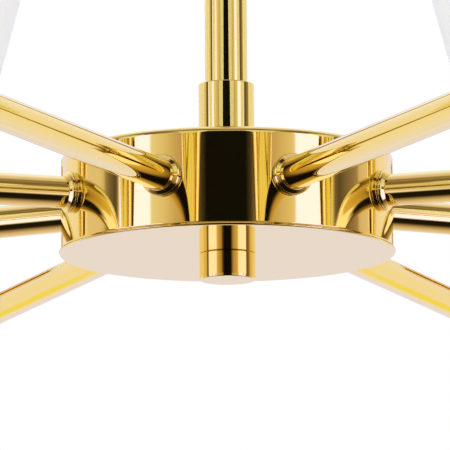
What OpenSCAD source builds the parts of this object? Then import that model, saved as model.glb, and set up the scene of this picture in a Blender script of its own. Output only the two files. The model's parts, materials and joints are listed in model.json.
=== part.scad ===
// Multi arm chandelier: a round hub on a stem that hangs from a swivel in the ceiling canopy,
// with eight straight arms, each carrying an upright lamp in an opal cone shade.
// Millimetres. The origin is the centre of the ceiling face, +Z up.

/* [Ceiling] */
// Diameter of the canopy
canopy_d = 125; // [110:1:140]
// Depth of the canopy below the ceiling
canopy_h = 30; // [30:1:34]
// Distance between the two slotted screw holes of the bracket
slot_spacing = 80; // [76:1:84]
// Width of a slot
slot_w = 5.5; // [4.5:0.5:6]
// End to end length of a slot
slot_l = 12; // [8:1:14]

/* [Drop] */
// Ceiling to the top of the hub
drop = 600; // [400:10:900]
// Outer diameter of the stem
stem_d = 16; // [15:1:18]
// Outer diameter of the two sleeves on the stem
sleeve_d = 21; // [20:0.5:24]
// Length of each sleeve
sleeve_h = 27.7; // [24:0.1:32]
// Swing of the drop to each side, in degrees
swing = 10; // [5:1:10]

/* [Hub] */
// Diameter of the hub
hub_d = 125; // [120:1:140]
// Height of the hub wall
hub_h = 36; // [36:1:42]
// Diameter of the bottom plate
plate_d = 126.4; // [126:0.1:127]
// Thickness of the bottom plate
plate_t = 1.2; // [1:0.1:2]
// Diameter of the finial
finial_d = 21.2; // [18:0.1:26]
// Height of the finial
finial_h = 10; // [9:0.5:14]

/* [Arms] */
// Hub axis to lamp axis
arm_reach = 400; // [330:5:430]
// Droop of the arms and their lamps below level, in degrees
arm_sag = 0.7; // [0:0.1:1.5]
// Outer diameter of an arm tube
arm_d = 12; // [12:0.5:13]
// Outer diameter of a collar
collar_d = 15.5; // [15:0.1:17]

/* [Lamps] */
// Diameter of a holder cup where the arm meets it
cup_d = 43; // [43:0.5:47]
// Height of a cup's rim above the arm's axis
cup_rim = 82; // [60:1:110]
// Height of a shade
shade_h = 180; // [140:5:220]
// Lean of the cup and shade walls, in degrees
lean = 15; // [13:0.5:16]
// Thickness of the shade glass
shade_t = 2.5; // [2:0.1:4]
// Diameter of a bulb
bulb_d = 16; // [14:0.5:18]

/* [Hidden] */
arm_count = 8;
$fn = 96;
arc_steps = 6;        // facets in a rounded corner
hex = 6;
wire_sides = 8;
eps = 0.5;            // how far a cutter runs past the face it opens

gold = [0.86, 0.66, 0.22];
steel = [0.72, 0.73, 0.75];
porcelain = [0.93, 0.92, 0.88];
opal = [0.94, 0.94, 0.94];
white_flex = [0.9, 0.9, 0.88];

// threads, drawn at their outer diameter
rod_r = 5;            // M10 tube in the drop and the hub
rod_bore_r = 3.5;
nipple_r = 4;         // M8 nipple at both ends of an arm
nipple_bore_r = 2.4;
thread_play = 0.2;    // a plain hole around a threaded tube

// ceiling
bracket_l = 110;
bracket_w = 25;
bracket_t = 2;
bracket_rise = 8;     // depth of the bracket's middle below the ceiling
bracket_flat = 44;    // length of the lowered middle
bracket_foot = 56;    // where the feet begin, end to end
tab_w = 20;
tab_end = 44;
tab_hole_y = 24;
tab_hole_r = 3;
socket_r = 20;
socket_top_z = -bracket_rise - bracket_t;
socket_roof_t = 3.5;
socket_bore_r = 17;
socket_split_z = -22; // where the cap's skirt begins
socket_skirt_r = 18.4;
socket_floor_z = -30;
cap_t = 4;
cap_bore_r = 13;
socket_step_z = -16.2;
socket_dome_r = 13.5;
canopy_wall = 1.5;
edge_r = 2.2;         // the rounded edge that canopy, hub and cups share
canopy_ring_r = 24.5;
canopy_ring_t = 4.5;

// swivel
ball_r = 14;
ball_z = -24;
ball_flat = 7;        // height of the flat above the ball's centre
ball_neck_r = 7;
ring_play = 0.05;     // running clearance of the swivel ring and the pins
swivel_ring_bore_r = 14.4;
swivel_ring_top_z = -16.5;
pin_r = 1.5;
pin_in = 9;
pin_out = 16.9;

// drop
top_sleeve_z = -40;
sleeve_r = sleeve_d / 2;
sleeve_thread = 13;   // length of the threaded end of a sleeve's bore
stem_r = stem_d / 2;
stem_bush = 12;       // length of the threaded bush in each end of the stem
stem_bore_r = stem_r - 1;
sleeve_edge = 0.4;
ball_thread = 22;
hub_top_z = -drop;
stem_top_z = top_sleeve_z - sleeve_thread;
stem_end_z = hub_top_z + sleeve_thread + 1;
cable_r = 2.6;

// hub
hub_r = hub_d / 2;
hub_wall = 4;
hub_roof = 3;
hub_edge = 0.5;
plate_z = hub_top_z - hub_h;
finial_z = plate_z - plate_t;
arm_z = finial_z + (hub_h + plate_t) / 2 + 0.9;
boss_r = 9;
boss_in = 53;
washer_r = 12;
washer_t = 1.5;
rod_nut_r = 8.66;
rod_nut_t = 4.5;
rod_top_z = hub_top_z + 25;
rod_end_z = finial_z - 7.3;
rod_slot_w = 6;
terminal_bore_r = 14;
terminal_r = 30;
terminal_t = 11;
terminal_z = hub_top_z - hub_roof;
register_r = hub_r - hub_wall - 0.3;
register_t = 3;
register_h = 3;
finial_play = 0.1;

// arms
arm_r = arm_d / 2;
arm_bore_r = 5;
collar_r = collar_d / 2;
collar_sink = 6;      // how far the collar's stock runs into the round wall before it is cut to it
ring_end = 0.5;       // the thin ring at the wall
groove_end = 1;
collar_l = 3.3;       // wall to the bead's flat face, where the arm tube begins
groove_r = 7;
spigot_l = 12;        // length of the collar's spigot in the arm tube
nipple_end = 47.5;    // hub axis to the nipple's inner end
nipple_in_tube = 9.5; // reach of the nipple past the wall
arm_nut_t = 3.6;
arm_nut_r = 6.35;
wire_r = 1.8;

// lamps
cup_wall = 1.5;
cup_floor = 2;
cup_foot = 14;        // cup bottom below the arm axis
cup_corner = 2.2;
cup_boss_r = 8;
cup_boss_x = 17.4;    // lamp axis to the flat face that the nut seats on
lamp_nipple_end = 13.4;
seat_t = 2.5;
seat_z = 25;          // shade floor above the arm axis
holder_neck_r = 11;
seat_bore_r = holder_neck_r + 0.05;
holder_z = 7;
holder_top = 34;
holder_foot_r = 9.5;
holder_flange_r = 14;
holder_flange_t = 4;
pin_pitch = 9;
bulb_pin_r = 0.9;
bulb_pin_hole_r = 1.3;
bulb_pin_l = 6;
bulb_r = bulb_d / 2;
bulb_base_h = 11;
bulb_h = 50;
shade_floor = 3;
shade_hole_r = 11.6;
shade_corner = 5;
shade_gap = 0.35;     // between the shade and the cup's wall
shade_ring_r = 16;
shade_ring_t = 4.5;
ring_bore_play = 0.08;
grip_count = 12;
grip_r = 1.2;

// ---- helpers ----

// Points on an arc about c, from angle a0 to a1
function arc(c, r, a0, a1, n = arc_steps) =
    [for (k = [0:n]) let (a = a0 + (a1 - a0) * k / n) c + r * [cos(a), sin(a)]];

// A solid turned from a list of [radius, height] points
module turned(profile) {
    rotate_extrude() polygon(profile);
}

// A round tube standing on z = 0
module tube(r, bore_r, h) {
    turned([[bore_r, 0], [r, 0], [r, h], [bore_r, h]]);
}

// A turned cup whose closed, rounded end is at z = 0 and whose mouth is at z = -h
module turned_cup(r, h, wall, end_t, hole_r, mouth_edge) {
    turned(concat(
        [[hole_r, 0]],
        arc([r - edge_r, -edge_r], edge_r, 90, 0),
        [[r, -h + mouth_edge], [r - mouth_edge, -h], [r - wall, -h],
         [r - wall, -end_t], [hole_r, -end_t]]
    ));
}

// A sleeve with a threaded bore at its lower end and room for the stem above it
module stem_sleeve() {
    turned([
        [rod_r, 0], [sleeve_r - sleeve_edge, 0], [sleeve_r, sleeve_edge],
        [sleeve_r, sleeve_h - sleeve_edge], [sleeve_r - sleeve_edge, sleeve_h],
        [stem_r, sleeve_h], [stem_r, sleeve_thread + 1], [rod_r, sleeve_thread + 1]
    ]);
}

// A hexagon nut standing on z = 0
module hex_nut(corner_r, bore_r, h) {
    difference() {
        cylinder(r = corner_r, h = h, $fn = hex);
        translate([0, 0, -eps]) cylinder(r = bore_r, h = h + 2 * eps);
    }
}

// A round flex through a list of [x, z] points in the plane y = 0
module flex(route, r) {
    n = wire_sides;
    last = len(route) - 1;
    function heading(i) =
        let (d = route[min(i + 1, last)] - route[max(i - 1, 0)]) d / norm(d);
    rim = [for (i = [0:last]) let (t = heading(i)) for (k = [0:n - 1])
        let (c = r * cos(360 * k / n), s = r * sin(360 * k / n))
        [route[i].x - t.y * c, s, route[i].y + t.x * c]];
    sides = [for (i = [0:last - 1], k = [0:n - 1])
        [i * n + k, i * n + (k + 1) % n, (i + 1) * n + (k + 1) % n, (i + 1) * n + k]];
    ends = [[for (k = [n - 1:-1:0]) k], [for (k = [0:n - 1]) last * n + k]];
    polyhedron(rim, concat(sides, ends));
}

// Outline of a round cup whose wall leans outwards: radius foot_r at its foot, from low to top
function flared(foot_r, low, top, wall, floor_t, corner, hole_r) =
    let (
        half = wall / 2,
        inner_corner = max(corner - wall, 0.8),
        low_z = low + corner,
        rim_z = top - half,
        in_z = low + floor_t + inner_corner,
        slope = tan(lean),
        low_c = foot_r + corner * slope - corner / cos(lean),
        rim_c = foot_r + (rim_z - low) * slope - half / cos(lean),
        in_c = foot_r + (in_z - low) * slope - (wall + inner_corner) / cos(lean)
    )
    concat(
        [[hole_r, low]],
        arc([low_c, low_z], corner, -90, -lean),
        arc([rim_c, rim_z], half, -lean, 180 - lean),
        arc([in_c, in_z], inner_corner, -lean, -90),
        [[hole_r, low + floor_t]]
    );

// Radius of the cup's outer wall at a height above the arm's axis, and of its inner wall
function cup_outer(z) = cup_d / 2 + z * tan(lean);
function cup_inner(z) = cup_outer(z) - cup_wall / cos(lean);

// Lamp axis to the plane where the collar's ring clears the leaning wall
lamp_wall = cup_outer(collar_r);

function arm_angle(i) = 360 / arm_count * (i - 0.5);

// Children in an arm's own frame: x out along the arm, the arm's axis at z = 0. The arm
// droops about the point where its axis meets the hub's wall, and its lamp leans with it.
module on_arm(i) {
    rotate([0, 0, arm_angle(i)]) translate([hub_r, 0, arm_z]) rotate([0, arm_sag, 0])
        translate([-hub_r, 0, 0]) children();
}

// Children in a lamp's own frame: z up the lamp's axis, the arm's axis at z = 0
module at_lamp(i) {
    on_arm(i) translate([arm_reach, 0, 0]) children();
}

// Children turned so that their z runs out along the arm from x
module outwards(x) {
    translate([x, 0, 0]) rotate([0, 90, 0]) children();
}

// Children turned so that their z runs in along the arm from x
module inwards(x) {
    translate([x, 0, 0]) rotate([0, -90, 0]) children();
}

module for_arms() {
    for (i = [1:arm_count]) on_arm(i) children();
}

module for_lamps() {
    for (i = [1:arm_count]) at_lamp(i) children();
}

// ---- ceiling ----

module slot_cutter() {
    reach = (slot_l - slot_w) / 2;
    for (x = [-reach, reach])
        translate([x, 0, -bracket_t - eps]) cylinder(d = slot_w, h = bracket_t + 2 * eps);
    translate([-reach, -slot_w / 2, -bracket_t - eps])
        cube([2 * reach, slot_w, bracket_t + 2 * eps]);
}

module bracket_strip() {
    flat = bracket_flat / 2;
    foot = bracket_foot / 2;
    end = bracket_l / 2;
    low = -bracket_rise;
    rotate([90, 0, 0]) translate([0, 0, -bracket_w / 2]) linear_extrude(bracket_w) polygon([
        [-end, 0], [-foot, 0], [-flat, low], [flat, low], [foot, 0], [end, 0],
        [end, -bracket_t], [foot - 1, -bracket_t], [flat - 1, low - bracket_t],
        [1 - flat, low - bracket_t], [1 - foot, -bracket_t], [-end, -bracket_t]
    ]);
}

module ceiling_bracket() {
    color(steel) difference() {
        union() {
            bracket_strip();
            translate([-tab_w / 2, 0, socket_top_z]) cube([tab_w, tab_end, bracket_t]);
        }
        for (x = [-1, 1]) translate([x * slot_spacing / 2, 0, 0]) slot_cutter();
        translate([0, 0, socket_top_z - eps]) cylinder(r = rod_r, h = bracket_t + 2 * eps);
        translate([0, tab_hole_y, socket_top_z - eps])
            cylinder(r = tab_hole_r, h = bracket_t + 2 * eps);
    }
}

module bracket_nipple() {
    top = -4.4;
    length = top - socket_top_z + socket_roof_t;
    color(steel) {
        translate([0, 0, top - length]) tube(rod_r, rod_bore_r, length);
        translate([0, 0, -bracket_rise]) hex_nut(8, rod_r, 3);
    }
}

module swivel_socket() {
    color(gold) turned([
        [rod_r, socket_top_z], [socket_r - 1, socket_top_z], [socket_r, socket_top_z - 1],
        [socket_r, socket_split_z], [socket_skirt_r, socket_split_z],
        [socket_skirt_r, socket_floor_z], [socket_bore_r, socket_floor_z],
        [socket_bore_r, socket_step_z], [socket_dome_r, socket_step_z],
        [socket_dome_r, socket_top_z - socket_roof_t], [rod_r, socket_top_z - socket_roof_t]
    ]);
}

module socket_cap() {
    low = socket_floor_z - cap_t;
    color(gold) turned([
        [socket_skirt_r, socket_split_z], [socket_r, socket_split_z], [socket_r, low + 0.6],
        [socket_r - 0.6, low], [cap_bore_r + 0.6, low], [cap_bore_r, low + 0.6],
        [cap_bore_r, socket_floor_z], [socket_skirt_r, socket_floor_z]
    ]);
}

module ceiling_terminal() {
    w = 28;
    depth = 14;
    h = 11;
    cell = 8;
    color(porcelain) translate([0, tab_end - depth, socket_top_z - h]) difference() {
        union() {
            translate([-w / 2, 0, 0]) cube([w, depth, h]);
            for (x = [-cell, 0, cell]) translate([x, 0, 1.5]) rotate([-90, 0, 0])
                cylinder(r = 3.6, h = depth);
        }
        for (x = [-cell, 0, cell]) {
            translate([x, -eps, 1.5]) rotate([-90, 0, 0]) cylinder(r = 1.6, h = 5);
            translate([x, depth - 5, 1.5]) rotate([-90, 0, 0]) cylinder(r = 1.6, h = 5 + eps);
            for (y = [3.5, depth - 3.5])
                translate([x, y, -3]) cylinder(r = 1.4, h = 2.5);
        }
    }
}

// Runs from the nipple over the bracket, down through the tab's hole and into the terminal
module ceiling_lead() {
    route = [
        [0, -13], [0, -5], [1, -2.9], [4, -1.9], [12, -1.8], [19, -2.2],
        [22.6, -3.6], [24, -6.5], [24, -11], [24.6, -14], [26.4, -16.4], [28.2, -17],
        [tab_end - 14, -17]
    ];
    color(white_flex) rotate([0, 0, 90]) flex(route, 1.5);
}

module canopy() {
    color(gold) translate([0, 0, -canopy_h]) mirror([0, 0, 1])
        turned_cup(canopy_d / 2, canopy_h, canopy_wall, canopy_wall, socket_r + 0.3, 0.3);
}

module canopy_ring() {
    bore_r = socket_r + 0.1;
    top = -canopy_h;
    low = top - canopy_ring_t;
    color(gold) turned(concat(
        [[bore_r, top], [canopy_ring_r, top], [canopy_ring_r, top - 0.8],
         [canopy_ring_r - 0.7, top - 1], [canopy_ring_r - 0.7, top - 1.5]],
        arc([canopy_ring_r - 1.5, low + 1.5], 1.5, 0, -90),
        [[bore_r + 0.5, low], [bore_r, low + 0.5]]
    ));
}

// ---- swivel ----

module pin_holes(r, from) {
    for (side = [0, 180]) rotate([0, 0, side]) translate([from, 0, ball_z])
        rotate([0, 90, 0]) cylinder(r = r, h = socket_r);
}

module swivel_ring() {
    h = swivel_ring_top_z - socket_floor_z;
    color(steel) difference() {
        translate([0, 0, socket_floor_z])
            tube(socket_bore_r - ring_play, swivel_ring_bore_r, h);
        pin_holes(pin_r, ball_r - 1);
    }
}

module trunnion_pins() {
    color(steel) for (side = [0, 180]) rotate([0, 0, side]) translate([pin_in, 0, ball_z])
        rotate([0, 90, 0]) cylinder(r = pin_r, h = pin_out - pin_in);
}

module swivel_ball() {
    neck_h = 4;
    cut = 2 * ball_r;
    color(gold) difference() {
        union() {
            intersection() {
                translate([0, 0, ball_z]) sphere(r = ball_r);
                translate([-cut, -cut, ball_z + ball_flat - 2 * cut]) cube(2 * cut);
            }
            translate([0, 0, top_sleeve_z]) cylinder(r = ball_neck_r, h = neck_h + 4);
            translate([0, 0, top_sleeve_z - ball_thread])
                cylinder(r = rod_r, h = ball_thread + 1);
        }
        translate([0, 0, top_sleeve_z - ball_thread - eps]) cylinder(r = 3.2, h = 60);
        pin_holes(pin_r + ring_play, pin_in - 0.3);
    }
}

// ---- drop ----

module top_sleeve() {
    color(gold) translate([0, 0, top_sleeve_z]) mirror([0, 0, 1]) stem_sleeve();
}

module hub_sleeve() {
    color(gold) translate([0, 0, hub_top_z]) stem_sleeve();
}

module stem() {
    h = stem_top_z - 1 - stem_end_z;
    color(gold) translate([0, 0, stem_end_z]) turned([
        [rod_r, 0], [stem_r, 0], [stem_r, h], [rod_r, h], [rod_r, h - stem_bush],
        [stem_bore_r, h - stem_bush - 2], [stem_bore_r, stem_bush + 2], [rod_r, stem_bush]
    ]);
}

// From the swivel ball down the stem and the rod, out of the rod's slot and into the terminal
module stem_cable() {
    route = [
        [0, ball_z + ball_flat], [0, stem_top_z], [0, stem_end_z], [0, hub_top_z - 7],
        [0.5, hub_top_z - 10.4], [2.6, hub_top_z - 13.6], [5.6, hub_top_z - 16.4],
        [9.5, hub_top_z - 18.2], [13.4, hub_top_z - 18.3], [17, hub_top_z - 17],
        [18.5, hub_top_z - 15.2], [18.5, terminal_z - terminal_t]
    ];
    color(white_flex) flex(route, cable_r);
}

// ---- hub ----

module hub_body() {
    color(gold) difference() {
        union() {
            translate([0, 0, hub_top_z])
                turned_cup(hub_r, hub_h, hub_wall, hub_roof, rod_r + thread_play, hub_edge);
            for_arms() outwards(boss_in) cylinder(r = boss_r, h = hub_r - boss_in - 2);
        }
        for_arms() outwards(boss_in - eps)
            cylinder(r = nipple_r + thread_play, h = hub_r - boss_in + 2 * eps);
    }
}

module centre_rod() {
    slot_top = hub_top_z - 9.5;
    slot_end = hub_top_z - 22;
    color(steel) difference() {
        translate([0, 0, rod_end_z]) tube(rod_r, rod_bore_r, rod_top_z - rod_end_z);
        translate([0, -rod_slot_w / 2, slot_end])
            cube([rod_r + 1, rod_slot_w, slot_top - slot_end]);
    }
}

module rod_nuts() {
    washer_z = hub_top_z - hub_roof - washer_t;
    color(steel) {
        translate([0, 0, washer_z]) tube(washer_r, rod_r + thread_play, washer_t);
        translate([0, 0, washer_z - rod_nut_t]) hex_nut(rod_nut_r, rod_r, rod_nut_t);
    }
}

// A ring of clamps under the hub's roof, one pair for each arm
module hub_terminal() {
    clamp_r = 21;
    color(porcelain) difference() {
        translate([0, 0, terminal_z - terminal_t]) turned([
            [terminal_bore_r, 0], [terminal_r - 2, 0], [terminal_r - 2, 3], [terminal_r, 4],
            [terminal_r, terminal_t], [terminal_bore_r, terminal_t]
        ]);
        for (i = [1:arm_count]) rotate([0, 0, arm_angle(i) + 180 / arm_count])
            translate([clamp_r, 0, terminal_z - terminal_t - eps]) {
                cylinder(r = 2, h = 6);
                translate([5, 0, 0]) cylinder(r = 1.3, h = 5);
            }
    }
}

module hub_bottom_plate() {
    r = plate_d / 2;
    edge = plate_t / 2;
    hole_r = rod_r + 0.3;
    color(gold) translate([0, 0, finial_z]) turned(concat(
        [[hole_r, 0]],
        arc([r - edge, edge], edge, -90, 90),
        [[register_r, plate_t], [register_r, plate_t + register_h],
         [register_r - register_t, plate_t + register_h], [register_r - register_t, plate_t],
         [hole_r, plate_t]]
    ));
}

module finial() {
    r = finial_d / 2;
    bore_r = rod_r + finial_play;
    bore_h = finial_z - rod_end_z + 0.4;
    color(gold) translate([0, 0, finial_z - finial_h]) turned([
        [0, 0], [r - 0.4, 0], [r, 0.4], [r, finial_h - 0.2], [r - 0.2, finial_h],
        [bore_r, finial_h], [bore_r, finial_h - bore_h], [0, finial_h - bore_h]
    ]);
}

// ---- arms ----

// A collar on the arm's axis: thin ring, groove, bead, and the spigot in the arm tube
module collar_stock() {
    round_r = 0.9;
    turned(concat(
        [[nipple_r, -collar_sink], [collar_r, -collar_sink], [collar_r, ring_end - 0.3],
         [collar_r - 0.3, ring_end], [groove_r, ring_end], [groove_r, groove_end]],
        arc([collar_r - round_r, groove_end + round_r], round_r, -90, 0),
        arc([collar_r - round_r, collar_l - round_r], round_r, 0, 90),
        [[arm_bore_r, collar_l], [arm_bore_r, collar_l + spigot_l], [nipple_bore_r, collar_l + spigot_l],
         [nipple_bore_r, nipple_in_tube + 0.5], [nipple_r, nipple_in_tube + 0.5]]
    ));
}

// The cup's outer wall as a solid cone, a little thinner by inset, around the arm's axis
module cup_cone(inset) {
    reach = cup_foot - 1;
    translate([0, 0, -reach])
        cylinder(r1 = cup_outer(-reach) - inset, r2 = cup_outer(reach) - inset, h = 2 * reach);
}

module arm_collars() {
    color(gold) {
        difference() {
            for_arms() outwards(hub_r) collar_stock();
            translate([0, 0, plate_z]) cylinder(r = hub_r, h = hub_h);
        }
        for_arms() difference() {
            inwards(arm_reach - lamp_wall) collar_stock();
            translate([arm_reach, 0, 0]) cup_cone(0);
        }
    }
}

module arm_nipples() {
    hub_reach = hub_r + nipple_in_tube - nipple_end;
    lamp_start = arm_reach - lamp_wall - nipple_in_tube;
    color(steel) for_arms() {
        outwards(nipple_end) tube(nipple_r, nipple_bore_r, hub_reach);
        outwards(lamp_start)
            tube(nipple_r, nipple_bore_r, arm_reach - lamp_nipple_end - lamp_start);
    }
}

module arm_nuts() {
    color(steel) for_arms() {
        outwards(boss_in - arm_nut_t) hex_nut(arm_nut_r, nipple_r, arm_nut_t);
        outwards(arm_reach - cup_boss_x) hex_nut(arm_nut_r, nipple_r, arm_nut_t - 0.4);
    }
}

module arm(i) {
    start = hub_r + collar_l;
    length = arm_reach - lamp_wall - collar_l - start;
    color(gold) on_arm(i) outwards(start) tube(arm_r, arm_bore_r, length);
}

// From the ring terminal, along the arm and up into the lampholder
module arm_wires() {
    start = 24;
    high = terminal_z - terminal_t - arm_z - (hub_r - start) * tan(arm_sag) - 0.05;
    lamp = arm_reach;
    route = [
        [start, high], [start, high - 1.2], [start + 1, high - 3.2], [28, 0], [40, 0], [200, 0],
        [lamp - 13, 0], [lamp - 7, 0.5], [lamp - 3.2, 2.2], [lamp - 0.8, 4.8],
        [lamp, holder_z], [lamp, holder_z + 4]
    ];
    color(white_flex) for_arms() flex(route, wire_r);
}

// ---- lamps ----

// A turned cone, open at the top, with a flat boss inside where the arm's nipple comes through
module holder_cups() {
    color(gold) for_lamps() difference() {
        union() {
            turned(flared(cup_outer(-cup_foot), -cup_foot, cup_rim, cup_wall, cup_floor,
                cup_corner, 0));
            intersection() {
                inwards(-cup_boss_x) cylinder(r = cup_boss_r, h = cup_d / 2);
                cup_cone(cup_wall / 2);
            }
        }
        inwards(eps - cup_boss_x) cylinder(r = nipple_r + thread_play, h = cup_d / 2);
    }
}

// A plate with a tapered edge, wedged in the cup, that the shade's floor stands on
module shade_seats() {
    low = seat_z - seat_t;
    color(steel) for_lamps() turned([
        [seat_bore_r, low], [cup_inner(low) - 0.02, low], [cup_inner(seat_z) - 0.02, seat_z],
        [seat_bore_r, seat_z]
    ]);
}

module lampholders() {
    seat_low = seat_z - seat_t;
    flange_z = seat_low - holder_flange_t;
    color(porcelain) for_lamps() difference() {
        turned([
            [0, holder_z], [holder_foot_r, holder_z], [holder_foot_r, flange_z],
            [holder_flange_r, flange_z], [holder_flange_r, seat_low], [holder_neck_r, seat_low],
            [holder_neck_r, holder_top - 0.6], [holder_neck_r - 0.6, holder_top], [0, holder_top]
        ]);
        for (y = [-1, 1]) translate([0, y * pin_pitch / 2, holder_top - bulb_pin_l - 2])
            cylinder(r = bulb_pin_hole_r, h = bulb_pin_l + 2 + eps);
        translate([0, 0, holder_z - eps]) cylinder(r = wire_r + 0.3, h = 4.5 + eps);
    }
}

module shade(i) {
    color(opal) at_lamp(i) turned(flared(cup_inner(seat_z) - shade_gap, seat_z,
        seat_z + shade_h, shade_t, shade_floor, shade_corner, shade_hole_r));
}

module shade_ring(i) {
    z = seat_z + shade_floor;
    r = shade_ring_r;
    color(porcelain) at_lamp(i) difference() {
        translate([0, 0, z]) turned([
            [holder_neck_r + ring_bore_play, 0], [r, 0], [r, shade_ring_t - 1.2],
            [r - 1.2, shade_ring_t], [holder_neck_r + ring_bore_play, shade_ring_t]
        ]);
        for (k = [0:grip_count - 1]) rotate([0, 0, 360 * k / grip_count])
            translate([r + grip_r / 2, 0, z + 1]) cylinder(r = grip_r, h = shade_ring_t);
    }
}

module bulb(i) {
    base_z = holder_top;
    body_z = base_z + bulb_base_h;
    body_r = bulb_r - 0.3;
    top = base_z + bulb_h;
    color(opal) at_lamp(i) {
        turned(concat(
            [[0, base_z], [bulb_r - 1, base_z], [bulb_r, base_z + 1], [bulb_r, body_z - 1],
             [bulb_r - 1.4, body_z], [body_r, body_z + 1.5]],
            arc([0, top - body_r], body_r, 0, 90, 10)
        ));
        for (y = [-1, 1]) translate([0, y * pin_pitch / 2, base_z - bulb_pin_l])
            cylinder(r = bulb_pin_r, h = bulb_pin_l);
    }
}

ceiling_bracket();
bracket_nipple();
swivel_socket();
socket_cap();
ceiling_terminal();
ceiling_lead();
canopy();
canopy_ring();
swivel_ring();
trunnion_pins();
swivel_ball();
top_sleeve();
stem();
hub_sleeve();
stem_cable();
hub_body();
centre_rod();
rod_nuts();
hub_terminal();
arm_collars();
arm_nipples();
arm_nuts();
arm_wires();
holder_cups();
shade_seats();
lampholders();
hub_bottom_plate();
finial();
for (i = [1:arm_count]) {
    arm(i);
    shade(i);
    shade_ring(i);
    bulb(i);
}
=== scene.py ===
"""Multi arm chandelier: the finishes, and smooth turned pieces in place of the frame's faceted ones.

Metres, +Z up, origin at the middle of the ceiling face. MM turns a drawing's millimetres into metres.
"""

import json
import math

import bpy
from mathutils import Matrix, Vector


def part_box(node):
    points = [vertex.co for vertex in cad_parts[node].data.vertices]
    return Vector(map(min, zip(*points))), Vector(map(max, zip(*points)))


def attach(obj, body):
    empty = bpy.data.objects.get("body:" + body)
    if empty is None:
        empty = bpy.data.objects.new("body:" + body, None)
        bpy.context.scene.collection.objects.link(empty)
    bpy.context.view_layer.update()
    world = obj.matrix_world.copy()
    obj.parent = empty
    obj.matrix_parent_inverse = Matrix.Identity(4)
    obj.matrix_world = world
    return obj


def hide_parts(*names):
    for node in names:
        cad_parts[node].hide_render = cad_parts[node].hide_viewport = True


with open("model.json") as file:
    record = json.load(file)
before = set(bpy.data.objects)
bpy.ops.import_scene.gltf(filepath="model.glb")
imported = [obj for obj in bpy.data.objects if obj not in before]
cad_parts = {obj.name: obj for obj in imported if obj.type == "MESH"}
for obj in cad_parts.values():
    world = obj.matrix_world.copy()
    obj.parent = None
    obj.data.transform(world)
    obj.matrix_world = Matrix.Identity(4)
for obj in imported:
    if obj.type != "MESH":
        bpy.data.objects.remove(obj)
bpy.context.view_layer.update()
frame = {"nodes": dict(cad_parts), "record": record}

MM = 0.001

# ---- places ----

ARM_REACH = 400 * MM             # hub axis to lamp axis, along the arm
ARM_SAG = math.radians(0.7)      # droop of an arm below level, about the point where it leaves the hub
ARM_ABOVE_PLATE = 19.5 * MM      # where an arm's axis leaves the hub's wall, above the plate's underside
ARM_NAMES = sorted(name for name in frame["nodes"] if name.startswith("arm_") and name[4:].isdigit())
LAMP_NUMBERS = [name[4:] for name in ARM_NAMES]


def low(node):
    return Vector(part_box(node)[0])


def high(node):
    return Vector(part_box(node)[1])


def centre(node):
    return (low(node) + high(node)) / 2


hub_radius = high("hub_body").x
plate_bottom = low("hub_bottom_plate").z
arm_root_z = plate_bottom + ARM_ABOVE_PLATE
arm_turns = {k: math.atan2(centre("bulb_" + k).y, centre("bulb_" + k).x) for k in LAMP_NUMBERS}

# ---- shapes that the pieces share ----

CORNER_STEP = math.radians(11)   # the most that one facet of a rounded corner turns
CONTACT = 0.02 * MM              # gap between pieces that rest on each other
HOLD = 0.12 * MM                 # a ring this far beside a rounded corner keeps the flat beside it flat
SMOOTH_BELOW = math.radians(30)  # edges that turn less than this are shaded smooth
EDGE_SPARE = 0.02 * MM           # a rounding stops this short of half the wall, so its arcs stay apart
WALL_LEAN = math.radians(15)     # of the lamp cups and the shades


def rounded(corners):
    """The outline through (radius, height, rounding) corners, in order and closed.

    Each rounded corner becomes an arc with a holding point on both sides of it."""
    points = []
    count = len(corners)
    for i, (x, z, radius) in enumerate(corners):
        here = Vector((x, z))
        if radius == 0:
            points.append(here)
            continue
        back = Vector(corners[i - 1][:2]) - here
        ahead = Vector(corners[(i + 1) % count][:2]) - here
        opening = back.angle(ahead)
        reach = radius / math.tan(opening / 2)
        between = (back.normalized() + ahead.normalized()).normalized()
        middle = here + between * radius / math.sin(opening / 2)
        start = here + back.normalized() * reach - middle
        end = here + ahead.normalized() * reach - middle
        turn = start.angle_signed(end)
        facets = max(2, math.ceil(abs(turn) / CORNER_STEP))
        if back.length > reach + 3 * HOLD:
            points.append(here + back.normalized() * (reach + HOLD))
        for step in range(facets + 1):
            points.append(middle + Matrix.Rotation(-turn * step / facets, 2) @ start)
        if ahead.length > reach + 3 * HOLD:
            points.append(here + ahead.normalized() * (reach + HOLD))
    return points


def turned(name, corners, steps=128, on_axis=False):
    """A piece turned about the Z axis from an outline of (radius, height, rounding) corners.

    With on_axis the first and last corner lie on the axis, and the outline isn't closed."""
    points = rounded(corners)
    if not on_axis:
        points.append(points[0])
    bpy.ops.object.select_all(action="DESELECT")
    bpy.ops.mesh.primitive_plane_add(size=0.01)
    piece = bpy.context.object
    piece.name = name
    bpy.ops.object.mode_set(mode="EDIT")
    bpy.ops.mesh.merge(type="CENTER")
    bpy.ops.transform.translate(value=(points[0].x, 0, points[0].y))
    for here, there in zip(points, points[1:]):
        step = there - here
        bpy.ops.mesh.extrude_region_move(TRANSFORM_OT_translate={"value": (step.x, 0, step.y)})
    bpy.ops.mesh.select_all(action="SELECT")
    bpy.ops.mesh.spin(steps=steps, angle=2 * math.pi, center=(0, 0, 0), axis=(0, 0, 1))
    bpy.ops.mesh.select_all(action="SELECT")
    bpy.ops.mesh.remove_doubles(threshold=0.004 * MM)
    bpy.ops.mesh.normals_make_consistent(inside=False)
    bpy.ops.object.mode_set(mode="OBJECT")
    bpy.ops.object.shade_smooth_by_angle(angle=SMOOTH_BELOW)
    return piece


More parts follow.
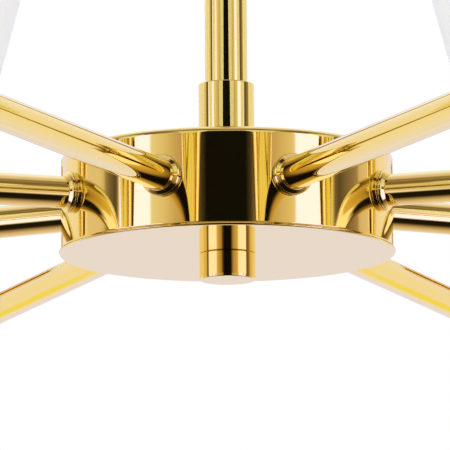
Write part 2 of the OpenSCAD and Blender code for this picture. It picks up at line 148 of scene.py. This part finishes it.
def settle(piece, place):
    """Puts a piece at place, a matrix, and leaves its object at the origin."""
    bpy.ops.object.select_all(action="DESELECT")
    piece.matrix_world = place
    piece.select_set(True)
    bpy.context.view_layer.objects.active = piece
    bpy.ops.object.transform_apply(location=True, rotation=True, scale=True)
    return piece


def copied(piece, name, place):
    """A copy of a piece, with a mesh of its own, at place."""
    twin = piece.copy()
    twin.data = piece.data.copy()
    twin.name = name
    bpy.context.collection.objects.link(twin)
    return settle(twin, place)


def joined(name, pieces):
    """The pieces as one object."""
    bpy.ops.object.select_all(action="DESELECT")
    for piece in pieces:
        piece.select_set(True)
    bpy.context.view_layer.objects.active = pieces[0]
    bpy.ops.object.join()
    pieces[0].name = name
    return pieces[0]


def arm_place(k):
    """An arm's own frame: x runs out along its axis, from the hub's axis."""
    level = Matrix.Translation((0, 0, arm_root_z)) @ Matrix.Rotation(arm_turns[k], 4, "Z")
    to_wall = Matrix.Translation((hub_radius, 0, 0))
    return level @ to_wall @ Matrix.Rotation(ARM_SAG, 4, "Y") @ to_wall.inverted()


def lamp_place(k):
    """A lamp's own frame: z up its axis from the arm's axis, x out from the hub."""
    return arm_place(k) @ Matrix.Translation((ARM_REACH, 0, 0))


def along_arm(k, from_hub, inwards=False):
    """A frame on an arm's axis at a distance from the hub's axis: z runs out along the arm, or inwards."""
    tip = Matrix.Rotation(math.radians(-90 if inwards else 90), 4, "Y")
    return arm_place(k) @ Matrix.Translation((from_hub, 0, 0)) @ tip


def finish(piece, material, slot, body, *nodes):
    """Gives a piece its material and its body, and hides the nodes that it stands for."""
    piece.data.materials.clear()
    piece.data.materials.append(material)
    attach(piece, body)
    if nodes:
        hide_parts(*nodes)


# ---- materials ----

class Field:
    """A socket's value, so that sums on it can be written as sums."""

    def __init__(self, tree, socket):
        self.tree = tree
        self.socket = socket

    def math(self, operation, *values):
        return self.tree.add("ShaderNodeMath", {"operation": operation}, dict(enumerate(values)))

    def __add__(self, other):
        return self.math("ADD", self, other)

    __radd__ = __add__

    def __sub__(self, other):
        return self.math("SUBTRACT", self, other)

    def __rsub__(self, other):
        return self.math("SUBTRACT", other, self)

    def __mul__(self, other):
        return self.math("MULTIPLY", self, other)

    __rmul__ = __mul__


class Tree:
    """The nodes of a material or of the world."""

    def __init__(self, owner):
        owner.use_nodes = True
        self.nodes = owner.node_tree.nodes
        self.links = owner.node_tree.links
        self.nodes.clear()

    def add(self, kind, settings=None, sockets=None, out=0):
        """Adds a node: first its settings, then the values or links of its sockets."""
        node = self.nodes.new(kind)
        for name, value in (settings or {}).items():
            if name == "stops":
                self.set_stops(node.color_ramp, value)
            else:
                setattr(node, name, value)
        for name, value in (sockets or {}).items():
            if isinstance(value, Field):
                self.links.new(value.socket, node.inputs[name])
            else:
                node.inputs[name].default_value = value
        return Field(self, node.outputs[out] if node.outputs else None)

    @staticmethod
    def set_stops(ramp, stops):
        while len(ramp.elements) < len(stops):
            ramp.elements.new(1)
        for element, (position, colour) in zip(ramp.elements, stops):
            element.position = position
            element.color = (*colour, 1)

    def mix(self, factor, first, second):
        """A colour between two colours."""
        return self.add("ShaderNodeMix", {"data_type": "RGBA"}, {0: factor, 6: first, 7: second}, out=2)

    def noise(self, scale, detail=2.0, roughness=0.5):
        """Noise from 0 to 1 on the object's own coordinates."""
        where = self.add("ShaderNodeTexCoord", out="Object")
        return self.add("ShaderNodeTexNoise", sockets={
            "Vector": where, "Scale": scale, "Detail": detail, "Roughness": roughness,
        })

    def ramp(self, value, *stops):
        return self.add("ShaderNodeValToRGB", {"stops": stops}, {0: value})

    def bump(self, height, strength, distance):
        return self.add("ShaderNodeBump", sockets={
            "Height": height, "Strength": strength, "Distance": distance,
        })

    def surface(self, **sockets):
        """A Principled surface on the output. Underscores in a socket's name stand for spaces."""
        named = {name.replace("_", " "): value for name, value in sockets.items()}
        shader = self.add("ShaderNodeBsdfPrincipled", sockets=named)
        self.add("ShaderNodeOutputMaterial", sockets={"Surface": shader})


def rgba(red, green, blue):
    return (red, green, blue, 1)


def polished_gold():
    """Gold plate polished to a mirror: the tone drifts a little and the polish hazes faintly in places."""
    material = bpy.data.materials.new("polished gold")
    tree = Tree(material)
    drift = tree.noise(14, 3)
    haze = tree.noise(55, 4, 0.6)
    lap = tree.noise(9, 2)
    tree.surface(
        Base_Color=tree.mix(drift, rgba(0.97, 0.82, 0.26), rgba(0.96, 0.80, 0.24)),
        Metallic=1.0,
        Roughness=0.02 + 0.035 * haze,
        Specular_Tint=rgba(1.0, 0.95, 0.85),
        Normal=tree.bump(lap, 0.15, 0.02 * MM),
    )
    return material


def zinc_plate():
    """Bright zinc with the faint cloudiness of barrel plating."""
    material = bpy.data.materials.new("zinc plate")
    tree = Tree(material)
    cloud = tree.noise(180, 3, 0.6)
    tree.surface(
        Base_Color=tree.mix(cloud, rgba(0.66, 0.64, 0.53), rgba(0.76, 0.74, 0.63)),
        Metallic=1.0,
        Roughness=0.22 + 0.18 * cloud,
    )
    return material


def moulded_white():
    """Heat-proof white moulding with a satin grain."""
    material = bpy.data.materials.new("moulded white")
    tree = Tree(material)
    grain = tree.noise(900, 2)
    tone = tree.noise(60, 2)
    tree.surface(
        Base_Color=tree.mix(tone, rgba(0.80, 0.79, 0.75), rgba(0.84, 0.83, 0.80)),
        Roughness=0.38 + 0.1 * grain,
        Normal=tree.bump(grain, 0.3, 0.03 * MM),
    )
    return material


def white_sheath():
    """Soft white flex."""
    material = bpy.data.materials.new("white sheath")
    tree = Tree(material)
    grain = tree.noise(500, 2)
    tree.surface(
        Base_Color=tree.mix(grain, rgba(0.76, 0.76, 0.74), rgba(0.82, 0.82, 0.80)),
        Roughness=0.5 + 0.1 * grain,
    )
    return material


def opal_glass():
    """Opal glass, acid etched to an even matt white."""
    material = bpy.data.materials.new("opal glass")
    tree = Tree(material)
    cloud = tree.noise(22, 3)
    etch = tree.noise(1400, 2)
    tree.surface(
        Base_Color=tree.mix(cloud, rgba(0.875, 0.875, 0.875), rgba(0.895, 0.895, 0.895)),
        Roughness=0.5 + 0.12 * etch,
        IOR=1.5,
        Specular_IOR_Level=0.1,
        Normal=tree.bump(etch, 0.15, 0.02 * MM),
    )
    return material


def frosted_lens():
    """The frosted cover of a bulb."""
    material = bpy.data.materials.new("frosted lens")
    tree = Tree(material)
    frost = tree.noise(700, 3)
    tree.surface(
        Base_Color=tree.mix(frost, rgba(0.86, 0.85, 0.80), rgba(0.90, 0.89, 0.86)),
        Roughness=0.3 + 0.15 * frost,
        Coat_Weight=0.3,
    )
    return material


gold = polished_gold()
zinc = zinc_plate()
white_plastic = moulded_white()
flex = white_sheath()
opal = opal_glass()
lens = frosted_lens()

FINISHES = {
    "gold": gold,
    "zinc_steel": zinc,
    "white_plastic": white_plastic,
    "white_flex": flex,
    "opal_glass": opal,
    "bulb_lens": lens,
}

for part in frame["record"]["subparts"]:
    for holder in frame["nodes"][part["node"]].material_slots:
        holder.material = FINISHES[part["material_slot"]]


# ---- ceiling pieces ----

def canopy_shell():
    """The spun canopy, open towards the ceiling."""
    radius = high("canopy").x
    bottom = low("canopy").z
    wall = 1.5 * MM
    hole = 20.3 * MM
    return turned("canopy_shell", [
        (hole, bottom, 0),
        (radius, bottom, 2.2 * MM),
        (radius, 0, 0.3 * MM),
        (radius - wall, 0, 0.3 * MM),
        (radius - wall, bottom + wall, 0.7 * MM),
        (hole, bottom + wall, 0),
    ], steps=192)


def canopy_nut_ring():
    """The ring that screws up the socket and holds the canopy, with a groove above its round edge."""
    radius = high("canopy_ring").x
    top = high("canopy_ring").z
    bottom = low("canopy_ring").z
    bore = 20.1 * MM
    waist = radius - 0.7 * MM
    groove_top = top - 1.0 * MM
    groove_foot = top - 1.5 * MM
    bevel = 0.2 * MM
    return turned("canopy_nut_ring", [
        (bore, top, 0),
        (radius, top, 0.2 * MM),
        (radius, groove_top + bevel, 0.2 * MM),
        (waist, groove_top, 0.1 * MM),
        (waist, groove_foot, 0.1 * MM),
        (radius, groove_foot - bevel, 0.2 * MM),
        (radius, bottom, 1.4 * MM),
        (bore, bottom, 0.5 * MM),
    ])


def sleeve(name, node, thread_at_top):
    """A stem sleeve with crisp, barely broken edges."""
    radius = high(node).x
    bottom = low(node).z
    top = high(node).z
    bore = 8.02 * MM
    rod = 5 * MM
    thread = 14 * MM
    stop = top - thread if thread_at_top else bottom + thread
    mouths = (rod, bore) if thread_at_top else (bore, rod)
    return turned(name, [
        (radius, bottom, 0.4 * MM),
        (radius, top, 0.4 * MM),
        (mouths[0], top, 0),
        (mouths[0], stop, 0),
        (mouths[1], stop, 0),
        (mouths[1], bottom, 0),
    ])


def stem_tube():
    """The stem between its two sleeves."""
    radius = high("stem").x
    bore = 7 * MM
    return turned("stem_tube", [
        (radius, low("stem").z, 0.2 * MM),
        (radius, high("stem").z, 0.2 * MM),
        (bore, high("stem").z, 0),
        (bore, low("stem").z, 0),
    ])


# ---- hub ----

def hub_shell():
    """The spun hub with its eight inner bosses."""
    top = high("hub_body").z
    bottom = low("hub_body").z
    wall = 4 * MM
    roof = 3 * MM
    hole = 5.2 * MM
    boss_radius = 9 * MM
    boss_bore = 4.2 * MM
    boss_length = 7 * MM
    boss_from_axis = 53 * MM
    shell = turned("hub_shell", [
        (hole, top, 0),
        (hub_radius, top, 2.2 * MM),
        (hub_radius, bottom, 0.5 * MM),
        (hub_radius - wall, bottom, 0.2 * MM),
        (hub_radius - wall, top - roof, 1 * MM),
        (hole, top - roof, 0),
    ], steps=256)
    boss = turned("boss", [
        (boss_bore, 0, 0),
        (boss_radius, 0, 0.5 * MM),
        (boss_radius, boss_length, 0),
        (boss_bore, boss_length, 0),
    ], steps=48)
    bosses = [copied(boss, "boss_" + k, along_arm(k, boss_from_axis)) for k in LAMP_NUMBERS]
    bpy.data.objects.remove(boss)
    return joined("hub_shell", [shell, *bosses])


def hub_plate():
    """The bottom plate, with the ring that centres it in the hub."""
    radius = high("hub_bottom_plate").x
    thickness = 1.2 * MM
    face = plate_bottom + thickness - CONTACT
    top = high("hub_bottom_plate").z
    ring = 58.2 * MM
    ring_in = 55.2 * MM
    hole = 5.3 * MM
    edge = thickness / 2 - EDGE_SPARE
    return turned("hub_plate", [
        (hole, plate_bottom, 0),
        (radius, plate_bottom, edge),
        (radius, face, edge),
        (ring, face, 0),
        (ring, top, 0.3 * MM),
        (ring_in, top, 0.3 * MM),
        (ring_in, face, 0),
        (hole, face, 0),
    ], steps=256)


def finial_knob():
    """The finial, a plain cylinder with softened ends and a threaded hole in its top."""
    radius = high("finial").x
    bottom = low("finial").z
    top = high("finial").z
    hole = 5.1 * MM
    hole_end = top - 7.7 * MM
    return turned("finial_knob", [
        (0, bottom, 0),
        (radius, bottom, 0.4 * MM),
        (radius, top, 0.4 * MM),
        (hole, top, 0),
        (hole, hole_end, 0),
        (0, hole_end, 0),
    ], steps=160, on_axis=True)


# ---- arms ----

COLLAR_LENGTH = 3.3 * MM
COLLAR_RING = 7.75 * MM          # radius of a collar's ring
CUP_AT_ARM = 21.5 * MM           # radius of a lamp cup where the arm's axis meets it
CUP_CLEARS = CUP_AT_ARM + COLLAR_RING * math.tan(WALL_LEAN)  # lamp axis to where the ring clears the cup


def collar(name, sink):
    """A collar: thin ring at the wall, groove and tapering bead. sink is how deep it starts in the wall."""
    groove = 7.0 * MM
    mouth = 6.1 * MM
    spigot = 4.9 * MM
    bore = 4.1 * MM
    groove_start = 0.5 * MM
    groove_end = 1.0 * MM
    taper_start = COLLAR_LENGTH - 1.2 * MM
    spigot_end = COLLAR_LENGTH + 5 * MM
    return turned(name, [
        (bore, -sink, 0),
        (COLLAR_RING, -sink, 0),
        (COLLAR_RING, groove_start, 0.16 * MM),
        (groove, groove_start, 0.1 * MM),
        (groove, groove_end, 0.1 * MM),
        (COLLAR_RING, groove_end, 0.4 * MM),
        (COLLAR_RING, taper_start, 1.2 * MM),
        (mouth, COLLAR_LENGTH, 0.2 * MM),
        (spigot, COLLAR_LENGTH, 0),
        (spigot, spigot_end, 0.3 * MM),
        (bore, spigot_end, 0),
    ], steps=96)


def arm_collars():
    """Both collars of every arm, as one piece."""
    hub_end = collar("hub_collar", 1 * MM)
    lamp_end = collar("lamp_collar", 4.5 * MM)
    collars = []
    for k in LAMP_NUMBERS:
        at_hub = along_arm(k, hub_radius)
        at_lamp = along_arm(k, ARM_REACH - CUP_CLEARS, inwards=True)
        collars.append(copied(hub_end, "hub_collar_" + k, at_hub))
        collars.append(copied(lamp_end, "lamp_collar_" + k, at_lamp))
    bpy.data.objects.remove(hub_end)
    bpy.data.objects.remove(lamp_end)
    return joined("arm_end_collars", collars)


def arm_tubes():
    """One tube for each arm."""
    start = hub_radius + COLLAR_LENGTH
    length = ARM_REACH - CUP_CLEARS - COLLAR_LENGTH - start
    radius = 6 * MM
    bore = 5 * MM
    tube = turned("arm_tube", [
        (radius, 0, 0.15 * MM),
        (radius, length, 0.15 * MM),
        (bore, length, 0),
        (bore, 0, 0),
    ], steps=96)
    tubes = {k: copied(tube, "arm_tube_" + k, along_arm(k, start)) for k in LAMP_NUMBERS}
    bpy.data.objects.remove(tube)
    return tubes


# ---- lamps ----

CUP_WALL = 1.5 * MM
SHADE_SEAT = 25 * MM             # where a shade stands, above the arm's axis
SHADE_PLAY = 0.35 * MM           # between the foot of a shade and the cup around it


def leaning_cup(name, foot, bottom, top, wall, floor, corner, hole):
    """A round cup whose wall leans outwards.

    foot is its radius at the bottom, and hole the radius of the hole in its floor, or 0."""
    lean = math.tan(WALL_LEAN)
    across = wall / math.cos(WALL_LEAN)
    rim = foot + (top - bottom) * lean
    inner_foot = foot + floor * lean - across
    half = wall / 2 - EDGE_SPARE
    return turned(name, [
        (hole, bottom, 0),
        (foot, bottom, corner),
        (rim, top, half),
        (rim - across, top, half),
        (inner_foot, bottom + floor, max(corner - wall, 0.8 * MM)),
        (hole, bottom + floor, 0),
    ], on_axis=hole == 0)


def lamp_cups():
    """The gold cups at the arms' ends, as one piece."""
    bottom = -14 * MM
    top = 82 * MM
    foot = CUP_AT_ARM + bottom * math.tan(WALL_LEAN)
    cup = leaning_cup("lamp_cup", foot, bottom, top,
                      wall=CUP_WALL, floor=2 * MM, corner=2.2 * MM, hole=0)
    cups = [copied(cup, "lamp_cup_" + k, lamp_place(k)) for k in LAMP_NUMBERS]
    bpy.data.objects.remove(cup)
    return joined("lamp_cups", cups)


def opal_shades():
    """One opal cone for each lamp."""
    bottom = SHADE_SEAT + CONTACT
    top = SHADE_SEAT + 180 * MM
    inside_cup = CUP_AT_ARM + SHADE_SEAT * math.tan(WALL_LEAN) - CUP_WALL / math.cos(WALL_LEAN)
    foot = inside_cup - SHADE_PLAY
    cone = leaning_cup("opal_shade", foot, bottom, top,
                       wall=2.5 * MM, floor=3 * MM, corner=5 * MM, hole=11.6 * MM)
    shades = {k: copied(cone, "opal_shade_" + k, lamp_place(k)) for k in LAMP_NUMBERS}
    bpy.data.objects.remove(cone)
    return shades


def bulbs():
    """One pin bulb for each lamp: a ceramic foot, and a frosted cover with a rounded end."""
    radius = 8 * MM
    bottom = 34 * MM
    top = 84 * MM
    shoulder = bottom + 11 * MM
    bevel = 1 * MM
    cover = radius - 0.3 * MM
    cover_start = shoulder - 0.5 * MM
    dome_spare = 0.01 * MM           # the dome's rounding stops this short of the axis
    pin_radius = 0.9 * MM
    pin_end = bottom - 6 * MM
    pin_top = bottom + 1 * MM
    pin_apart = 4.5 * MM             # a pin's axis from the bulb's
    foot = turned("bulb_foot", [
        (0, bottom, 0),
        (radius - bevel, bottom, 0.3 * MM),
        (radius, bottom + bevel, 0.4 * MM),
        (radius, shoulder - bevel, 0.4 * MM),
        (cover - 1.1 * MM, shoulder, 0.2 * MM),
        (0, shoulder, 0),
    ], steps=64, on_axis=True)
    pin = turned("bulb_pin", [
        (0, pin_end, 0),
        (pin_radius, pin_end, 0.4 * MM),
        (pin_radius, pin_top, 0),
        (0, pin_top, 0),
    ], steps=24, on_axis=True)
    dome = turned("bulb_cover", [
        (0, cover_start, 0),
        (cover, cover_start, 0.4 * MM),
        (cover, top, cover - dome_spare),
        (0, top, 0),
    ], steps=64, on_axis=True)
    sets = {}
    for k in LAMP_NUMBERS:
        place = lamp_place(k)
        pins = [
            copied(pin, "bulb_pin", place @ Matrix.Translation((0, side * pin_apart, 0)))
            for side in (-1, 1)
        ]
        sets[k] = (
            copied(foot, "bulb_foot_" + k, place),
            copied(dome, "bulb_cover_" + k, place),
            joined("bulb_pins_" + k, pins),
        )
    for pattern in (foot, pin, dome):
        bpy.data.objects.remove(pattern)
    return sets


# ---- the object ----

finish(canopy_shell(), gold, "gold", "canopy_cup", "canopy")
finish(canopy_nut_ring(), gold, "gold", "canopy_cup", "canopy_ring")
finish(sleeve("stem_sleeve_top", "top_sleeve", True), gold, "gold", "drop", "top_sleeve")
finish(sleeve("stem_sleeve_hub", "hub_sleeve", False), gold, "gold", "drop", "hub_sleeve")
finish(stem_tube(), gold, "gold", "drop", "stem")
finish(hub_shell(), gold, "gold", "drop", "hub_body")
finish(hub_plate(), gold, "gold", "hub_cover", "hub_bottom_plate")
finish(finial_knob(), gold, "gold", "hub_cover", "finial")
finish(arm_collars(), gold, "gold", "drop", "arm_collars")
finish(lamp_cups(), gold, "gold", "drop", "holder_cups")
for k, tube in arm_tubes().items():
    finish(tube, gold, "gold", "drop", "arm_" + k)
for k, shade in opal_shades().items():
    finish(shade, opal, "opal_glass", "shade_body_" + k, "shade_" + k)
for k, (foot, cover, pins) in bulbs().items():
    finish(foot, white_plastic, "bulb_lens", "bulb_body_" + k, "bulb_" + k)
    finish(cover, lens, "bulb_lens", "bulb_body_" + k)
    finish(pins, zinc, "bulb_lens", "bulb_body_" + k)


# ---- studio ----

CARD_LEVEL = 4.0                 # above the brightest card, because a ramp's colours stop at 1
MATT_LEVEL = 0.86                # soft light on the matt surfaces

# What the metal sees around it: degrees from the camera's side round to the back, and a colour.
# The rings are level with the light. SHOULDER, RIM and OVERHEAD follow above, and UNDERFOOT below.
# The stops were typed from a profile of reflected colours that another program printed, and then rescaled.
# They are a fit, and not a studio's plan.
BLACK = (0.006, 0.005, 0.005)
CARD = (1.35, 1.16, 2.9)
RING_LEFT = [
    (0, BLACK), (14, BLACK), (17, (0.05, 0.033, 0.027)), (20, (0.14, 0.09, 0.065)),
    (25, (0.42, 0.285, 0.2)), (36, (0.61, 0.433, 0.32)), (44, (0.76, 0.604, 0.5)),
    (53.5, (0.84, 0.74, 0.76)), (55, CARD), (79, CARD), (80.5, (0.6, 0.475, 0.36)),
    (82, (0.14, 0.098, 0.066)), (84, (0.11, 0.073, 0.053)), (89, (0.19, 0.139, 0.106)),
    (92.5, (0.33, 0.245, 0.166)), (95, (0.68, 0.539, 0.44)), (99, (0.77, 0.621, 0.59)),
    (112, (0.79, 0.628, 0.6)), (116, (0.95, 0.818, 0.9)), (126, (0.92, 0.8, 1.0)),
    (134, (0.93, 0.84, 0.95)), (150, (0.9, 0.84, 1.35)), (166, (0.89, 0.87, 1.5)),
    (180, (0.83, 0.82, 1.25)),
]
RING_RIGHT = [
    (0, BLACK), (13, BLACK), (16.5, (0.06, 0.041, 0.033)), (19, (0.2, 0.139, 0.1)),
    (24, (0.45, 0.31, 0.21)), (34, (0.62, 0.433, 0.31)), (45, (0.78, 0.612, 0.48)),
    (47.5, (0.82, 0.67, 0.68)), (49, CARD), (76.5, CARD), (78, (0.7, 0.571, 0.5)),
    (80, (0.2, 0.139, 0.087)), (84, (0.11, 0.073, 0.053)), (90, (0.19, 0.13, 0.106)),
    (98, (0.29, 0.196, 0.166)), (102, (0.37, 0.262, 0.21)), (104.5, (0.68, 0.507, 0.47)),
    (111, (0.75, 0.588, 0.55)), (121, (0.85, 0.67, 0.6)), (128, (0.91, 0.79, 0.95)),
    (134, (0.93, 0.84, 0.95)), (150, (0.9, 0.84, 1.35)), (166, (0.89, 0.87, 1.5)),
    (180, (0.83, 0.82, 1.25)),
]
SHOULDER = [
    (0, (0.62, 0.433, 0.35)), (36, (0.58, 0.409, 0.35)), (46, (0.22, 0.147, 0.093)),
    (74, (0.13, 0.082, 0.053)), (84, (0.5, 0.368, 0.35)), (104, (0.6, 0.474, 0.5)),
    (120, (0.8, 0.75, 0.95)), (140, (0.93, 0.94, 1.3)), (180, (1.0, 1.0, 1.35)),
]
RIM = [
    (0, (0.035, 0.024, 0.016)), (32, (0.05, 0.033, 0.024)), (46, (0.36, 0.257, 0.162)),
    (60, (0.3, 0.209, 0.137)), (76, (0.2, 0.133, 0.09)), (90, (0.48, 0.361, 0.3)),
    (106, (0.6, 0.5, 0.42)), (124, (0.85, 0.85, 1.0)), (180, (1.0, 1.07, 1.9)),
]
OVERHEAD = [
    (0, (0.75, 0.588, 0.6)), (90, (0.72, 0.588, 0.73)), (110, (0.82, 0.719, 1.05)),
    (150, (0.9, 0.85, 1.45)), (180, (0.97, 1.0, 1.7)),
]
UNDERFOOT = [
    (0, BLACK), (70, (0.015, 0.01, 0.007)), (82, (0.1, 0.066, 0.046)), (92, (0.2, 0.139, 0.106)),
    (108, (0.37, 0.262, 0.226)), (130, (0.5, 0.359, 0.32)), (150, (0.66, 0.49, 0.5)),
    (180, (0.86, 0.719, 0.95)),
]


def studio_world():
    """White behind the object and soft on matt surfaces.

    Polished metal sees cards and flags all round it instead."""
    world = bpy.data.worlds.new("studio")
    bpy.context.scene.world = world
    tree = Tree(world)
    way = tree.add("ShaderNodeTexCoord", out="Generated")
    x, y, z = (tree.add("ShaderNodeSeparateXYZ", sockets={0: way}, out=axis) for axis in range(3))
    bearing = x.math("ARCTAN2", x, 0 - y) * (1 / math.pi)
    from_front = bearing.math("ABSOLUTE", bearing)
    height = 0.5 + 0.5 * z

    def cards(stops):
        scaled = [(at / 180, tuple(value / CARD_LEVEL for value in colour)) for at, colour in stops]
        return tree.ramp(from_front, *scaled)

    def rising(start, end):
        """0 below the elevation start and 1 above end, in degrees."""
        low_end, high_end = (0.5 + 0.5 * math.sin(math.radians(angle)) for angle in (start, end))
        return tree.ramp(height, (low_end, (0, 0, 0)), (high_end, (1, 1, 1)))

    right = bearing.math("GREATER_THAN", bearing, 0.0)
    ring = tree.mix(right, cards(RING_LEFT), cards(RING_RIGHT))
    card_edges = ((44.5, 0), (46, 1), (82, 1), (84, 0))
    beside = tree.ramp(from_front, *((at / 180, (level, level, level)) for at, level in card_edges))
    beside_card = beside * rising(-28, -22) * (1 - rising(3, 8))
    ring = tree.mix(beside_card, ring, rgba(*(value / CARD_LEVEL for value in CARD)))
    around = tree.mix(rising(-33, -25), cards(UNDERFOOT), ring)
    around = tree.mix(rising(20, 27), around, cards(SHOULDER))
    around = tree.mix(rising(42, 46), around, cards(RIM))
    around = tree.mix(rising(58, 66), around, cards(OVERHEAD))
    cards_light = tree.add("ShaderNodeBackground", sockets={"Color": around, "Strength": CARD_LEVEL})
    matt_light = tree.add("ShaderNodeBackground", sockets={"Color": rgba(1, 1, 1), "Strength": MATT_LEVEL})
    backdrop = tree.add("ShaderNodeBackground", sockets={"Color": rgba(1, 1, 1), "Strength": 1.0})
    glossy = tree.add("ShaderNodeLightPath", out="Is Glossy Ray")
    seen = tree.add("ShaderNodeLightPath", out="Is Camera Ray")
    lit = tree.add("ShaderNodeMixShader", sockets={0: glossy, 1: matt_light, 2: cards_light})
    shown = tree.add("ShaderNodeMixShader", sockets={0: seen, 1: lit, 2: backdrop})
    tree.add("ShaderNodeOutputWorld", sockets={"Surface": shown})


def low_card(name, place):
    """A warm card with soft edges that only metal sees, beyond a back arm and lower than it.

    Its place and colour are fitted to one streak on the back arms."""
    half_width = 210 * MM
    half_height = 100 * MM
    bpy.ops.object.select_all(action="DESELECT")
    bpy.ops.mesh.primitive_plane_add(size=2, location=place, rotation=(math.radians(90), 0, 0))
    card = bpy.context.object
    card.name = name
    card.scale = (half_width, half_height, 1)
    material = bpy.data.materials.new(name)
    tree = Tree(material)
    where = tree.add("ShaderNodeTexCoord", out="Object")
    middle = tree.add("ShaderNodeTexGradient", {"gradient_type": "SPHERICAL"}, {"Vector": where}, out="Fac")
    strength = tree.ramp(middle, (0, (0, 0, 0)), (0.7, (1, 1, 1)))
    warm = tree.add("ShaderNodeEmission", sockets={"Color": rgba(0.94, 0.82, 0.23), "Strength": 1.0})
    clear = tree.add("ShaderNodeBsdfTransparent")
    shown = tree.add("ShaderNodeMixShader", sockets={0: strength, 1: clear, 2: warm})
    tree.add("ShaderNodeOutputMaterial", sockets={"Surface": shown})
    card.data.materials.append(material)
    card.visible_camera = False
    card.visible_diffuse = False
    card.visible_transmission = False
    card.visible_shadow = False


def studio_floor():
    """A pale floor 2.4 m below the ceiling, that isn't seen from underneath or in the metal."""
    bpy.ops.object.select_all(action="DESELECT")
    bpy.ops.mesh.primitive_plane_add(size=400, location=(0, 0, -2.4))
    floor = bpy.context.object
    floor.name = "studio_floor"
    material = bpy.data.materials.new("pale floor")
    tree = Tree(material)
    tone = tree.noise(0.6, 2)
    face = tree.add("ShaderNodeBsdfDiffuse", sockets={
        "Color": tree.mix(tone, rgba(0.93, 0.93, 0.93), rgba(0.95, 0.95, 0.95)),
    })
    clear = tree.add("ShaderNodeBsdfTransparent")
    underside = tree.add("ShaderNodeNewGeometry", out="Backfacing")
    shown = tree.add("ShaderNodeMixShader", sockets={0: underside, 1: face, 2: clear})
    tree.add("ShaderNodeOutputMaterial", sockets={"Surface": shown})
    floor.data.materials.append(material)
    floor.visible_glossy = False


def soft_lamp(name, place, size, power):
    """A soft square lamp that faces the hub and doesn't show in the metal."""
    data = bpy.data.lights.new(name, "AREA")
    data.shape = "SQUARE"
    data.size = size
    data.energy = power
    lamp = bpy.data.objects.new(name, data)
    bpy.context.collection.objects.link(lamp)
    lamp.location = place
    toward = Vector((0, 0, arm_root_z)) - Vector(place)
    lamp.rotation_euler = toward.to_track_quat("-Z", "Y").to_euler()
    lamp.visible_glossy = False
    lamp.visible_camera = False


def camera_below():
    """The camera: it stands in front of the hub, a little below it, and looks up through a long lens."""
    focal_parts = 6134           # focal length, in parts of which the frame is 450 wide
    distance = 2306 * MM
    rise = math.radians(9.8)
    aim_up = rise + math.radians(0.272)
    aim_left = math.radians(0.021)
    roll = math.radians(-0.38)
    data = bpy.data.cameras.new("camera")
    data.sensor_width = 36
    data.lens = focal_parts / 450 * data.sensor_width
    data.clip_start = 0.05
    data.clip_end = 500
    camera = bpy.data.objects.new("camera", data)
    bpy.context.collection.objects.link(camera)
    hub_foot = Vector((0, 0, plate_bottom))
    camera.location = hub_foot + distance * Vector((0, -math.cos(rise), -math.sin(rise)))
    turn = Matrix.Rotation(aim_left, 3, "Z") @ Matrix.Rotation(math.radians(90) + aim_up, 3, "X")
    camera.rotation_euler = (turn @ Matrix.Rotation(roll, 3, "Z")).to_euler()
    bpy.context.scene.camera = camera


studio_world()
studio_floor()
low_card("low_card_left", (-0.4, 0.804, -0.915))
low_card("low_card_right", (0.4, 0.804, -0.915))
soft_lamp("key", (-2.2, -2.6, 1.2), 2.0, 38)
soft_lamp("fill", (2.8, -1.8, -0.2), 2.4, 27)
camera_below()
bpy.context.scene.view_settings.view_transform = "Standard"
